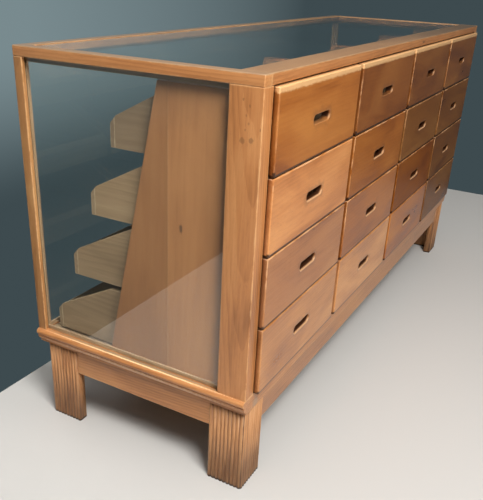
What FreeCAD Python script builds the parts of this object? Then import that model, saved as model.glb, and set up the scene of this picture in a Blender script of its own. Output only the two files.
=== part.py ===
import FreeCAD, Part
import os
from FreeCAD import Vector

os.makedirs("parts", exist_ok=True)

# Haberdashery shop counter: a glazed oak case with four rows of four drawers.
# Millimetres. +X runs along the counter, the drawers pull out towards -Y and
# customers stand at +Y. The origin is on the floor, at the centre of the plan.

# ---- driving dimensions -------------------------------------------------
length = 1820.0                 # case, over the end frames
depth = 585.0                   # case, from stile face to rear post face
height = 915.0                  # floor to counter top
columns = 4
rows = 4

base_height = 250.0             # floor to the top of the base moulding
nosing_height = 17.0            # upper, half-round member of the moulding
quirk = 1.5                     # step between nosing and cove
cove_projection = 4.0
cove_drop = 13.0
cove_run = 9.0
cove_fillet = 6.5               # flat below the cove
base_frame_width = 34.0         # base members, inwards from the case face

leg_width = 90.0
leg_board = 25.0
leg_end_inset = 9.0
leg_front_inset = 3.0
leg_rear_inset = 18.0
reed_count = 9                  # reeds on each outer face
reed_depth = 2.4

apron_height = 66.0
apron_board = 20.0
apron_setback = 4.0             # behind the leg faces

floor_thickness = 12.0
floor_recess = 4.0              # floor below the top of the moulding
bearer_width = 45.0
bearer_height = 22.0

frame_board = 27.0              # thickness of stiles, posts and end rails
stile_width = 70.0
post_width = 24.0
top_thickness = 22.0
front_rail_width = 62.0
rear_rail_width = 27.0
glass_ledge = 8.0               # ledge that carries the top pane
edge_round = 2.5

glass_thickness = 5.0
glass_setback = 9.0             # end and rear panes behind the outer faces
glass_recess = 2.0              # top pane below the counter top
glass_clearance = 1.0
rebate_depth = 10.0
bead_thickness = 4.0
bead_height = 10.0

partition_thickness = 18.0
rear_board_top = 25.0           # rear board of a partition, at its narrow top end
stile_lip = 10.0                # wood left in front of the floor and the end partition
head_rail_gap = 5.0             # top row of fronts to the top frame

front_thickness = 20.0
front_proud = 12.0              # drawer fronts, ahead of the case face
front_side_gap = 1.0
row_gap = 3.0
front_round = 3.0
slot_length = 86.0
slot_height = 20.0

tray_side_gap = 1.5
tray_lift = 1.5                 # tray above the division between two rows
tray_side = 10.0
tray_back = 11.0
tray_bottom = 6.0
tray_bottom_raise = 3.0
tray_headroom = 12.0            # tray top to the division above it
tray_rear_height = 50.0
bevel_side = 4.0                # bevel at the rear top corner runs on into the sides
bevel_rise = 17.0
slope_run = 150.0               # sloping top edge of the side
tray_step = 60.7                # each lower row reaches further back
tray_rear_gap = 21.0            # bottom row to the glazing bead behind it
top_overhang = 131.0            # top row behind the partitions, at their top
foot_overhang = 175.0           # bottom row behind the partitions, at their foot

runner_width = 11.0
runner_height = 9.0
seat_gap = 0.3                  # running clearance

touch = 1e-6                    # two places closer than this are the same
overcut = 1.0                   # a cutter runs this far past the faces it cuts

# ---- derived planes -----------------------------------------------------
left = -length / 2
right = length / 2
front = (front_proud - depth) / 2       # the case face, behind the drawer fronts
rear = front + depth
middle_y = (front + rear) / 2
moulding_foot = base_height - nosing_height - quirk - cove_drop - cove_fillet
nosing_projection = nosing_height / 2
floor_top = base_height - floor_recess
floor_under = floor_top - floor_thickness
top_under = height - top_thickness
fronts_top = top_under - head_rail_gap
row_pitch = (fronts_top - base_height) / rows
top_pane_seat = height - glass_recess - glass_thickness
front_back = front - front_proud + front_thickness
rail_start = front + stile_lip

glass_inner = glass_setback + glass_thickness
partition_offset = glass_inner + bead_thickness
bay_width = (length - 2 * partition_offset - (columns + 1) * partition_thickness) / columns
column_pitch = bay_width + partition_thickness
first_bay = left + partition_offset + partition_thickness
tray_height = row_pitch - tray_lift - tray_headroom
partition_top = fronts_top - tray_headroom + runner_height / 2

bottom_tray_reach = depth - partition_offset - tray_rear_gap
top_tray_reach = bottom_tray_reach - (rows - 1) * tray_step
partition_top_depth = top_tray_reach - top_overhang
partition_foot_depth = bottom_tray_reach - foot_overhang
partition_joint = partition_top_depth - rear_board_top
bevel_run = tray_back + bevel_side


# ---- helpers ------------------------------------------------------------
def board(x0, x1, y0, y1, z0, z1):
    return Part.makeBox(x1 - x0, y1 - y0, z1 - z0, Vector(x0, y0, z0))


def mirrored(shape):
    """The same piece at the other end of the counter."""
    return shape.mirror(Vector(0, 0, 0), Vector(1, 0, 0))


def upright(points, z0, z1):
    """A post whose plan outline is a list of (x, y)."""
    wire = Part.makePolygon([Vector(x, y, z0) for x, y in points + points[:1]])
    return Part.Face(wire).extrude(Vector(0, 0, z1 - z0))


def side_panel(points, x0, thickness):
    """A board lying in the Y-Z plane, from its outline of (y, z)."""
    wire = Part.makePolygon([Vector(x0, y, z) for y, z in points + points[:1]])
    return Part.Face(wire).extrude(Vector(thickness, 0, 0))


def rounded(shape, radius, wanted):
    """Rounds the edges that the test picks."""
    return shape.makeFillet(radius, [edge for edge in shape.Edges if wanted(edge)])


def along(edge, axis):
    """True for a straight edge parallel to one axis, 0 for X, 1 for Y, 2 for Z."""
    box = edge.BoundBox
    spans = (box.XLength, box.YLength, box.ZLength)
    return all(span < touch for place, span in enumerate(spans) if place != axis)


def save(name, *solids):
    shape = solids[0] if len(solids) == 1 else Part.makeCompound(list(solids))
    shape.exportStep("parts/" + name + ".step")


# ---- legs: two mitred boards, reeded on the outer faces ------------------
def reeded_edge(start, step_along, outward):
    """A row of shallow convex reeds, each an arc over one step."""
    arcs = []
    for reed in range(reed_count):
        foot = start + step_along * reed
        crown = foot + step_along * 0.5 + outward * reed_depth
        arcs.append(Part.Arc(foot, crown, foot + step_along).toShape())
    return arcs


def corner_leg(end_inset, face_inset):
    """Front left leg. Its faces lie behind the case faces by the two insets."""
    x0 = left + end_inset + reed_depth
    y0 = front + face_inset + reed_depth
    run = leg_width - reed_depth
    thick = leg_board - reed_depth
    step = run / reed_count
    corner = Vector(x0, y0, 0)
    side_end = Vector(x0, y0 + run, 0)
    face_end = Vector(x0 + run, y0, 0)
    inner = [side_end, Vector(x0 + thick, y0 + run, 0), Vector(x0 + thick, y0 + thick, 0),
             Vector(x0 + run, y0 + thick, 0), face_end]
    edges = reeded_edge(corner, Vector(0, step, 0), Vector(-1, 0, 0))
    edges += [Part.makeLine(a, b) for a, b in zip(inner, inner[1:])]
    edges += reeded_edge(corner, Vector(step, 0, 0), Vector(0, -1, 0))
    outline = Part.Wire(Part.__sortEdges__(edges))
    leg = Part.Face(outline).extrude(Vector(0, 0, moulding_foot))
    reach = leg_width * 2
    mitre = upright([(x0 - reach, y0 - reach), (x0 + reach, y0 + reach),
                     (x0 - reach, y0 + reach)], 0, moulding_foot)
    return leg.common(mitre), leg.cut(mitre)


def turned_to_rear(shape):
    """Carries a front leg to the rear, where the inset is measured from the rear face."""
    return shape.mirror(Vector(0, middle_y, 0), Vector(0, 1, 0))


front_leg = corner_leg(leg_end_inset, leg_front_inset)
rear_leg = [turned_to_rear(half) for half in corner_leg(leg_end_inset, leg_rear_inset)]
save("leg_front_left", *front_leg)
save("leg_front_right", *[mirrored(half) for half in front_leg])
save("leg_rear_left", *rear_leg)
save("leg_rear_right", *[mirrored(half) for half in rear_leg])

# ---- aprons between the legs --------------------------------------------
apron_foot = moulding_foot - apron_height
end_apron_x = left + leg_end_inset + apron_setback
end_apron = board(end_apron_x, end_apron_x + apron_board,
                  front + leg_front_inset + leg_width, rear - leg_rear_inset - leg_width,
                  apron_foot, moulding_foot)
save("end_aprons", end_apron, mirrored(end_apron))

long_apron_x = left + leg_end_inset + leg_width
front_apron_y = front + leg_front_inset + apron_setback
rear_apron_y = rear - leg_rear_inset - apron_setback
front_apron = board(long_apron_x, -long_apron_x, front_apron_y, front_apron_y + apron_board,
                    apron_foot, moulding_foot)
rear_apron = board(long_apron_x, -long_apron_x, rear_apron_y - apron_board, rear_apron_y,
                   apron_foot, moulding_foot)
save("long_aprons", front_apron, rear_apron)


# ---- base: moulded end members, and plain rails between them ---------------
end_ledge = partition_offset - glass_clearance


def moulded_member():
    """Left end: a bullnose, a quirk and a cove outside, a seat for the floor inside."""
    def at(inwards, z):
        return Vector(left + inwards, front, z)

    nosing_foot = base_height - nosing_height
    cove_top = nosing_foot - quirk
    cove_foot = cove_top - cove_drop
    cove_inner = cove_run - cove_projection
    bend = 1 - 0.5 ** 0.5
    nose = Part.Arc(at(0, base_height), at(-nosing_projection, base_height - nosing_projection),
                    at(0, nosing_foot)).toShape()
    cove = Part.Arc(at(-cove_projection, cove_top),
                    at(cove_run * bend - cove_projection, cove_foot + cove_drop * bend),
                    at(cove_inner, cove_foot)).toShape()
    lines = [[at(0, nosing_foot), at(0, cove_top), at(-cove_projection, cove_top)],
             [at(cove_inner, cove_foot), at(cove_inner, moulding_foot),
              at(base_frame_width, moulding_foot), at(base_frame_width, floor_under),
              at(end_ledge, floor_under), at(end_ledge, base_height), at(0, base_height)]]
    edges = [nose, cove]
    for run in lines:
        edges += [Part.makeLine(a, b) for a, b in zip(run, run[1:])]
    return Part.Face(Part.Wire(Part.__sortEdges__(edges))).extrude(Vector(0, depth, 0))


def base_rail(y0, y1, lip_y0, lip_y1):
    """Rail between the end members. Its lip laps over their seats and frames the floor."""
    rail = board(left + base_frame_width, right - base_frame_width, y0, y1,
                 moulding_foot, floor_under)
    lip = board(left + end_ledge, right - end_ledge, lip_y0, lip_y1, floor_under, base_height)
    return rail.fuse(lip).removeSplitter()


left_member = moulded_member()
save("base_moulding_left", left_member)
save("base_moulding_right", mirrored(left_member))
save("base_moulding_front", base_rail(front, front + base_frame_width, front, rail_start))
save("base_moulding_rear", base_rail(rear - base_frame_width, rear, rear - end_ledge, rear))

# ---- floor and its bearers ----------------------------------------------
floor_x = left + end_ledge + seat_gap
floor_panel = board(floor_x, -floor_x, rail_start + seat_gap, rear - end_ledge - seat_gap,
                    floor_under, floor_top)
save("floor_panel", floor_panel)

bearers = []
for division in range(1, columns):
    middle = first_bay + division * column_pitch - partition_thickness / 2
    bearers.append(board(middle - bearer_width / 2, middle + bearer_width / 2,
                         front + base_frame_width, rear - base_frame_width,
                         floor_under - bearer_height, floor_under))
save("floor_bearers", *bearers)

# ---- end frames: rebated stile and rear post -----------------------------
stile_plan = [(left, front), (left + frame_board, front), (left + frame_board, rail_start),
              (left + partition_offset, rail_start),
              (left + partition_offset, front + stile_width - rebate_depth),
              (left + glass_setback, front + stile_width - rebate_depth),
              (left + glass_setback, front + stile_width), (left, front + stile_width)]
stile = rounded(upright(stile_plan, base_height, top_under), edge_round,
                lambda edge: along(edge, 2) and edge.BoundBox.XMin < left + touch)
save("stile_left", stile)
save("stile_right", mirrored(stile))

pane_end = rear - post_width + rebate_depth
post_step = left + end_ledge
post_plan = [(left, rear - post_width), (left + glass_setback, rear - post_width),
             (left + glass_setback, pane_end), (post_step, pane_end),
             (post_step, rear - glass_setback), (left + frame_board, rear - glass_setback),
             (left + frame_board, rear), (left, rear)]
post = rounded(upright(post_plan, base_height, top_under), edge_round,
               lambda edge: along(edge, 2) and edge.BoundBox.XMin < left + touch)
save("rear_posts", post, mirrored(post))

# ---- top frame: end rails run through, front and rear rails between them --
def top_edge(edge):
    return edge.BoundBox.ZMin > height - touch


rail_front_y = front + front_rail_width
rail_rear_y = rear - rear_rail_width
inner_x = left + frame_board
end_rail = board(left, inner_x, front, rear, top_under, height)
end_rail = rounded(end_rail, edge_round,
                   lambda edge: edge.BoundBox.XMax < left + touch or
                   top_edge(edge) and along(edge, 0))
end_rail = end_rail.fuse(board(inner_x, inner_x + glass_ledge, rail_front_y, rail_rear_y,
                               top_under, top_pane_seat)).removeSplitter()
front_rail = rounded(board(inner_x, -inner_x, front, rail_front_y, top_under, height), edge_round,
                     lambda edge: along(edge, 0) and edge.BoundBox.YMax < front + touch)
front_rail = front_rail.fuse(board(inner_x + glass_ledge, -inner_x - glass_ledge, rail_front_y,
                                   rail_front_y + glass_ledge, top_under, top_pane_seat)).removeSplitter()
rear_rail = rounded(board(inner_x, -inner_x, rail_rear_y, rear, top_under, height), edge_round,
                    lambda edge: along(edge, 0) and edge.BoundBox.YMin > rear - touch)
rear_rail = rear_rail.fuse(board(inner_x + glass_ledge, -inner_x - glass_ledge,
                                 rail_rear_y - glass_ledge, rail_rear_y,
                                 top_under, top_pane_seat)).removeSplitter()
save("top_rail_left", end_rail)
save("top_rail_right", mirrored(end_rail))
save("top_rail_front", front_rail)
save("top_rail_rear", rear_rail)

head_rail = board(left + partition_offset, right - partition_offset, rail_start, rail_front_y,
                  partition_top, top_under)
save("head_rail", head_rail)

# ---- glass ---------------------------------------------------------------
top_pane = board(inner_x + glass_clearance, -inner_x - glass_clearance,
                 rail_front_y + glass_clearance, rail_rear_y - glass_clearance,
                 top_pane_seat, top_pane_seat + glass_thickness)
save("top_glass", top_pane)

pane_front = front + stile_width - rebate_depth
end_pane = board(left + glass_setback, left + glass_inner, pane_front + glass_clearance,
                 pane_end - glass_clearance, base_height, top_under - glass_clearance)
save("end_glass", end_pane, mirrored(end_pane))

rear_pane_x = post_step + glass_clearance
rear_pane = board(rear_pane_x, -rear_pane_x, rear - glass_inner, rear - glass_setback,
                  base_height, top_under - glass_clearance)
save("rear_glass", rear_pane)

# Beads hold the panes from inside: two lying and two standing strips to each pane.
bead_x0 = left + glass_inner
bead_x1 = bead_x0 + bead_thickness
bead_foot = base_height + bead_height
bead_head = top_under - bead_height
end_beads = [board(bead_x0, bead_x1, pane_front, pane_end, base_height, bead_foot),
             board(bead_x0, bead_x1, pane_front, pane_end, bead_head, top_under),
             board(bead_x0, bead_x1, pane_front, pane_front + bead_height, bead_foot, bead_head),
             board(bead_x0, bead_x1, pane_end - bead_height, pane_end, bead_foot, bead_head)]
bead_y1 = rear - glass_inner
bead_y0 = bead_y1 - bead_thickness
rear_bead_x = bead_x1
rear_beads = [board(rear_bead_x, -rear_bead_x, bead_y0, bead_y1, base_height, bead_foot),
              board(rear_bead_x, -rear_bead_x, bead_y0, bead_y1, bead_head, top_under),
              board(rear_bead_x, rear_bead_x + bead_height, bead_y0, bead_y1, bead_foot, bead_head),
              board(-rear_bead_x - bead_height, -rear_bead_x, bead_y0, bead_y1, bead_foot, bead_head)]
save("glazing_beads", *end_beads, *[mirrored(bead) for bead in end_beads], *rear_beads)


# ---- tapered partitions, each of two boards -------------------------------
def partition_rear(z):
    """Y of the sloping rear edge at one height."""
    share = (partition_top - z) / (partition_top - floor_top)
    return front + partition_top_depth + share * (partition_foot_depth - partition_top_depth)


def partition(x0):
    joint = front + partition_joint
    front_board = board(x0, x0 + partition_thickness, rail_start, joint, floor_top, partition_top)
    rear_board = side_panel([(joint, floor_top), (partition_rear(floor_top), floor_top),
                             (partition_rear(partition_top), partition_top),
                             (joint, partition_top)], x0, partition_thickness)
    return front_board, rear_board


end_partition = partition(left + partition_offset)
save("partition_left", *end_partition)
save("partition_right", *[mirrored(half) for half in end_partition])
inner_partitions = []
for division in range(1, columns):
    x0 = first_bay + division * column_pitch - partition_thickness
    front_board, rear_board = partition(x0)
    # An inner partition comes forward over the lip of the base rail, to the case face.
    nose = board(x0, x0 + partition_thickness, front, rail_start, base_height, partition_top)
    inner_partitions += [front_board.fuse(nose).removeSplitter(), rear_board]
save("inner_partitions", *inner_partitions)

# ---- drawers and their runners --------------------------------------------
runner_start = max(front_back, rail_start) + seat_gap
runners = []


def drawer_front(x0, z0):
    """A slab with softened face edges and a through finger slot with round ends."""
    x1 = x0 + bay_width
    face = front - front_proud
    slab = board(x0 + front_side_gap, x1 - front_side_gap, face, front_back,
                 z0 + row_gap / 2, z0 + row_pitch - row_gap / 2)
    slab = rounded(slab, front_round, lambda edge: edge.BoundBox.YMax < face + touch)
    middle_x = (x0 + x1) / 2
    middle_z = z0 + row_pitch / 2
    straight = (slot_length - slot_height) / 2
    radius = slot_height / 2
    slot = board(middle_x - straight, middle_x + straight, face - overcut, front_back + overcut,
                 middle_z - radius, middle_z + radius)
    for end in (-straight, straight):
        slot = slot.fuse(Part.makeCylinder(radius, front_thickness + 2 * overcut,
                                           Vector(middle_x + end, face - overcut, middle_z),
                                           Vector(0, 1, 0)))
    return slab.cut(slot.removeSplitter())


def drawer_tray(x0, z0, reach):
    """Sides that slope down to a low, bevelled back, and a bottom let in between them."""
    x1 = x0 + bay_width - tray_side_gap
    x0 = x0 + tray_side_gap
    z0 = z0 + tray_lift
    end = front + reach
    back_face = end - tray_back
    bevel_slope = bevel_rise / bevel_run
    back_top = tray_rear_height + tray_back * bevel_slope
    high_start = end - bevel_run - slope_run
    profile = [(front_back, z0), (back_face, z0), (back_face, z0 + back_top),
               (end - bevel_run, z0 + tray_rear_height + bevel_rise),
               (high_start, z0 + tray_height), (front_back, z0 + tray_height)]
    back_profile = [(back_face, z0), (end, z0), (end, z0 + tray_rear_height),
                    (back_face, z0 + back_top)]
    return (side_panel(profile, x0, tray_side),
            side_panel(profile, x1 - tray_side, tray_side),
            side_panel(back_profile, x0, x1 - x0),
            board(x0 + tray_side, x1 - tray_side, front_back, back_face,
                  z0 + tray_bottom_raise, z0 + tray_bottom_raise + tray_bottom))


for row in range(rows):
    row_foot = fronts_top - (row + 1) * row_pitch
    reach = top_tray_reach + row * tray_step
    runner_top = row_foot + tray_lift - seat_gap
    on_floor = row == rows - 1
    runner_foot = floor_top if on_floor else runner_top - runner_height
    for column in range(columns):
        bay = first_bay + column * column_pitch
        name = "_r" + str(row + 1) + "c" + str(column + 1)
        save("drawer_front" + name, drawer_front(bay, row_foot))
        save("drawer_tray" + name, *drawer_tray(bay, row_foot, reach))
        for x0 in (bay, bay + bay_width - runner_width):
            runners.append(board(x0, x0 + runner_width, runner_start,
                                 partition_rear(runner_top), runner_foot, runner_top))
save("drawer_runners", *runners)
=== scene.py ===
import math
import random

import bmesh
import bpy
from mathutils import Matrix, Vector


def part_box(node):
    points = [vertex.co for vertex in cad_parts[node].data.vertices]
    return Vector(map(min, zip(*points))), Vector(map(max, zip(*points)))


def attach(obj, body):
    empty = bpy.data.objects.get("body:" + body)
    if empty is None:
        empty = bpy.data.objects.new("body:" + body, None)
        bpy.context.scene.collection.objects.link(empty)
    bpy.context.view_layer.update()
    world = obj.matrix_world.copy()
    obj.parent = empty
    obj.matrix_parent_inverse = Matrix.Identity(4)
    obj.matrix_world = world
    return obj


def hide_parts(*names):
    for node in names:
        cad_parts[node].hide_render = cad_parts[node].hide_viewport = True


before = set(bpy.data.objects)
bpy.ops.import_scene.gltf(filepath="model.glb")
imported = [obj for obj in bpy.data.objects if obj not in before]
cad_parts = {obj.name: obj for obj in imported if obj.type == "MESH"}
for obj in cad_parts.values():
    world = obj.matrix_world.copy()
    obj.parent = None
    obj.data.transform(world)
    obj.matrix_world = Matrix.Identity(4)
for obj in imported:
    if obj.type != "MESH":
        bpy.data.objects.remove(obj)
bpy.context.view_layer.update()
mm = 0.001
slate = (0.064, 0.093, 0.104, 1.0)      # the dim room round the pale floor
bpy.context.scene.view_settings.view_transform = "Standard"
print("frame loaded:", len(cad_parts), "nodes")


# Node helpers
def put(tree, kind, values=None, **settings):
    node = tree.nodes.new(kind)
    for name, value in settings.items():
        setattr(node, name, value)
    for key, value in (values or {}).items():
        if isinstance(value, bpy.types.NodeSocket):
            tree.links.new(value, node.inputs[key])
        else:
            node.inputs[key].default_value = value
    return node


def calc(tree, operation, a, b=0.0, c=0.0, clamp=False):
    node = put(tree, "ShaderNodeMath", {0: a, 1: b, 2: c}, operation=operation)
    node.use_clamp = clamp
    return node.outputs[0]


def times(tree, a, b):
    return calc(tree, "MULTIPLY", a, b)


def inverted(tree, value):
    return calc(tree, "SUBTRACT", 1.0, value)


def vectorCalc(tree, operation, a, b=(0, 0, 0)):
    node = put(tree, "ShaderNodeVectorMath", {0: a, 1: b}, operation=operation)
    return node.outputs["Value" if operation in ("LENGTH", "DOT_PRODUCT") else "Vector"]


def ranged(tree, value, low, high, toLow=0.0, toHigh=1.0, smooth=True):
    node = put(tree, "ShaderNodeMapRange", {"Value": value, "From Min": low, "From Max": high,
                                            "To Min": toLow, "To Max": toHigh})
    node.interpolation_type = "SMOOTHSTEP" if smooth else "LINEAR"
    return node.outputs["Result"]


def blend(tree, factor, a, b, how="MIX"):
    node = put(tree, "ShaderNodeMix", {0: factor, 6: a, 7: b}, data_type="RGBA", blend_type=how)
    return node.outputs[2]


def noise(tree, vector, stretch, detail=2.0, roughness=0.5, distortion=0.0):
    scaled = vectorCalc(tree, "MULTIPLY", vector, stretch)
    return put(tree, "ShaderNodeTexNoise", {"Vector": scaled, "Scale": 1.0, "Detail": detail,
                                            "Roughness": roughness,
                                            "Distortion": distortion}).outputs["Fac"]


def upright(tree, vector):
    return put(tree, "ShaderNodeSeparateXYZ", {0: vector}).outputs["Z"]


def newGroup(name, inputs, outputs):
    group = bpy.data.node_groups.new(name, "ShaderNodeTree")
    for label, kind, value in inputs:
        socket = group.interface.new_socket(name=label, in_out="INPUT", socket_type=kind)
        if value is not None:
            socket.default_value = value
    for label, kind in outputs:
        group.interface.new_socket(name=label, in_out="OUTPUT", socket_type=kind)
    return group, put(group, "NodeGroupInput").outputs


def attribute(tree, name, output):
    return put(tree, "ShaderNodeAttribute", attribute_name=name).outputs[output]


def newMaterial(name):
    material = bpy.data.materials.new(name)
    material.use_nodes = True
    tree = material.node_tree
    tree.nodes.clear()
    return material, tree, put(tree, "ShaderNodeTexCoord").outputs["Object"]


def surface(tree, shader):
    put(tree, "ShaderNodeOutputMaterial", {"Surface": shader.outputs[0]})


def placed(name, data):
    made = bpy.data.objects.new(name, data)
    bpy.context.scene.collection.objects.link(made)
    return made


# Shared effects
def makeBoardFrame():
    # where a point lies on its own board, and how far it is from the nearest arris
    group, given = newGroup("board frame", [("Vector", "NodeSocketVector", None)], [
        ("Local", "NodeSocketVector"), ("Edge Distance", "NodeSocketFloat"),
        ("Seed", "NodeSocketFloat")])
    point = given["Vector"]
    low = attribute(group, "boardLow", "Vector")
    high = attribute(group, "boardHigh", "Vector")
    near = vectorCalc(group, "MINIMUM", vectorCalc(group, "SUBTRACT", point, low),
                      vectorCalc(group, "SUBTRACT", high, point))
    a, b, c = put(group, "ShaderNodeSeparateXYZ", {0: near}).outputs
    middle = calc(group, "MAXIMUM", calc(group, "MINIMUM", a, b),
                  calc(group, "MINIMUM", calc(group, "MAXIMUM", a, b), c))
    centre = vectorCalc(group, "MULTIPLY", vectorCalc(group, "ADD", low, high), (0.5, 0.5, 0.5))
    put(group, "NodeGroupOutput", {"Local": vectorCalc(group, "SUBTRACT", point, centre),
                                   "Edge Distance": middle, "Seed": attribute(group, "boardSeed", "Fac")})
    return group


def makeOakGrain():
    # growth rings, fibre, pores and cloudy tone, with the grain along X
    group, given = newGroup("oak grain", [
        ("Vector", "NodeSocketVector", None), ("Seed", "NodeSocketFloat", 0.5),
        ("Ring Spacing", "NodeSocketFloat", 0.006), ("Tilt", "NodeSocketFloat", 0.05)], [
        ("Rings", "NodeSocketFloat"), ("Fibre", "NodeSocketFloat"),
        ("Pores", "NodeSocketFloat"), ("Cloud", "NodeSocketFloat")])
    vector, seed = given["Vector"], given["Seed"]
    hashA = calc(group, "FRACT", times(group, seed, 17.31))
    hashB = calc(group, "FRACT", times(group, seed, 43.77))
    away = put(group, "ShaderNodeCombineXYZ", {0: times(group, seed, 31.7),
                                               1: times(group, hashA, 9.1),
                                               2: times(group, hashB, 7.3)}).outputs[0]
    place = vectorCalc(group, "ADD", vector, away)
    x, y, z = put(group, "ShaderNodeSeparateXYZ", {0: vector}).outputs
    ry = calc(group, "ADD", y, times(group, calc(group, "SUBTRACT", hashA, 0.5), 0.11))
    rz = calc(group, "ADD", z, calc(group, "MULTIPLY_ADD", hashB, 0.05, 0.022))
    radius = calc(group, "SQRT", calc(group, "ADD", times(group, ry, ry),
                                      times(group, rz, rz)))
    warp = noise(group, place, (1.5, 11.0, 11.0), 3.0, 0.55)
    lean = times(group, times(group, x, given["Tilt"]),
                calc(group, "SUBTRACT", hashB, 0.5))
    grown = calc(group, "ADD", calc(group, "ADD", radius, lean),
                 times(group, calc(group, "SUBTRACT", warp, 0.5), 0.028))
    turn = calc(group, "FRACT", calc(group, "DIVIDE", grown, given["Ring Spacing"]))
    late = times(group, ranged(group, turn, 0.25, 0.92), ranged(group, turn, 1.0, 0.93))
    fibre = noise(group, place, (9.0, 210.0, 210.0), 3.0, 0.6)
    pore = ranged(group, noise(group, place, (55.0, 1100.0, 1100.0), 1.0), 0.60, 0.72)
    pores = calc(group, "MULTIPLY", pore, calc(group, "SUBTRACT", 1.2, turn), clamp=True)
    cloud = noise(group, place, (2.6, 9.0, 9.0), 4.0, 0.55, 0.6)
    put(group, "NodeGroupOutput", {"Rings": inverted(group, late), "Fibre": fibre, "Pores": pores,
                                   "Cloud": cloud})
    return group


def makeStain():
    # one soft-edged mark at a place on the object
    group, given = newGroup("stainAndLightSpot", [
        ("Vector", "NodeSocketVector", None), ("Centre", "NodeSocketVector", None),
        ("Size", "NodeSocketVector", (0.01, 0.01, 0.01)), ("Softness", "NodeSocketFloat", 0.5)], [
        ("Mask", "NodeSocketFloat")])
    away = vectorCalc(group, "SUBTRACT", given["Vector"], given["Centre"])
    reach = vectorCalc(group, "LENGTH", vectorCalc(group, "DIVIDE", away, given["Size"]))
    ragged = noise(group, given["Vector"], (260.0, 260.0, 260.0), 2.0)
    reach = calc(group, "MULTIPLY_ADD", calc(group, "SUBTRACT", ragged, 0.5), 0.9, reach)
    inside = inverted(group, given["Softness"])
    outside = calc(group, "ADD", given["Softness"], 0.5)
    put(group, "NodeGroupOutput", {"Mask": inverted(group, ranged(group, reach, inside, outside))})
    return group


def makeSlotReach():
    # distance on a drawer front from the rim of its finger slot
    group, given = newGroup("slot reach", [
        ("Local", "NodeSocketVector", None), ("Straight", "NodeSocketFloat", 0.03),
        ("Radius", "NodeSocketFloat", 0.012), ("Thickness", "NodeSocketFloat", 0.02)], [
        ("Distance", "NodeSocketFloat"), ("Below", "NodeSocketFloat"), ("Depth", "NodeSocketFloat")])
    x, y, z = put(group, "ShaderNodeSeparateXYZ", {0: given["Local"]}).outputs
    past = calc(group, "SUBTRACT", calc(group, "ABSOLUTE", x), given["Straight"])
    along = calc(group, "MAXIMUM", past, 0.0)
    span = calc(group, "SQRT", calc(group, "ADD", times(group, along, along), times(group, z, z)))
    put(group, "NodeGroupOutput", {
        "Distance": calc(group, "SUBTRACT", span, given["Radius"]), "Below": ranged(group, z, 0.002, -0.008),
        "Depth": calc(group, "MULTIPLY_ADD", given["Thickness"], 0.5, y)})
    return group


boardFrame = makeBoardFrame()
oakGrain = makeOakGrain()
stainAndLightSpot = makeStain()
slotReach = makeSlotReach()
print("shared effects ready")

# Finishes
grainTurn = {"X": (0, 0, 0), "Y": (0, 0, -math.pi / 2), "Z": (0, math.pi / 2, 0)}
finishes = {
    "frame": dict(dark=(0.30, 0.112, 0.032), mid=(0.50, 0.205, 0.066), pale=(0.62, 0.29, 0.105),
                  rings=0.13, fibre=0.42, cloud=1.0, pores=0.30, ringSpacing=0.0065, tilt=0.10,
                  edgeWidth=0.0028, edgeAmount=0.55, edgeTone=(0.76, 0.44, 0.20),
                  roughness=0.42, coat=0.30, bump=0.35),
    "leg": dict(dark=(0.27, 0.11, 0.042), mid=(0.50, 0.235, 0.095), pale=(0.63, 0.345, 0.165),
                rings=0.14, fibre=0.7, cloud=1.1, pores=0.35, ringSpacing=0.007, tilt=0.10,
                edgeWidth=0.003, edgeAmount=0.40, edgeTone=(0.70, 0.42, 0.22),
                roughness=0.55, coat=0.05, bump=0.45, groove=0.80, foot=0.003),
    "front": dict(dark=(0.30, 0.090, 0.018), mid=(0.475, 0.170, 0.042), pale=(0.60, 0.25, 0.075),
                  rings=0.05, fibre=0.22, cloud=1.5, pores=0.22, ringSpacing=0.008, tilt=0.06,
                  edgeWidth=0.0032, edgeAmount=0.78, edgeTone=(0.80, 0.47, 0.25),
                  roughness=0.33, coat=0.20, bump=0.25, slot=True),
    "partition": dict(dark=(0.26, 0.107, 0.037), mid=(0.365, 0.163, 0.060), pale=(0.455, 0.218, 0.086),
                      rings=0.04, fibre=0.16, cloud=0.9, pores=0.06, ringSpacing=0.012, tilt=0.06,
                      edgeWidth=0.0016, edgeAmount=0.30, edgeTone=(0.42, 0.25, 0.12),
                      roughness=0.55, coat=0.0, bump=0.3),
    "inner": dict(dark=(0.19, 0.115, 0.06), mid=(0.30, 0.19, 0.105), pale=(0.40, 0.27, 0.16),
                  rings=0.15, fibre=0.5, cloud=0.7, pores=0.2, ringSpacing=0.008, tilt=0.05,
                  edgeWidth=0.002, edgeAmount=0.2, edgeTone=(0.60, 0.44, 0.28),
                  roughness=0.65, coat=0.0, bump=0.3),
    "tray": dict(dark=(0.185, 0.114, 0.058), mid=(0.27, 0.177, 0.097), pale=(0.34, 0.235, 0.136),
                 rings=0.10, fibre=0.35, cloud=0.8, pores=0.1, ringSpacing=0.010, tilt=0.05,
                 edgeWidth=0.002, edgeAmount=0.5, edgeTone=(0.50, 0.38, 0.24),
                 roughness=0.6, coat=0.0, bump=0.3),
}
soot = (0.10, 0.045, 0.020, 1)
# a greyish tone on the top faces: dust, and painted sheen of light seen at a grazing angle
dustAndSheen = (0.225, 0.178, 0.119, 1)
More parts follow.
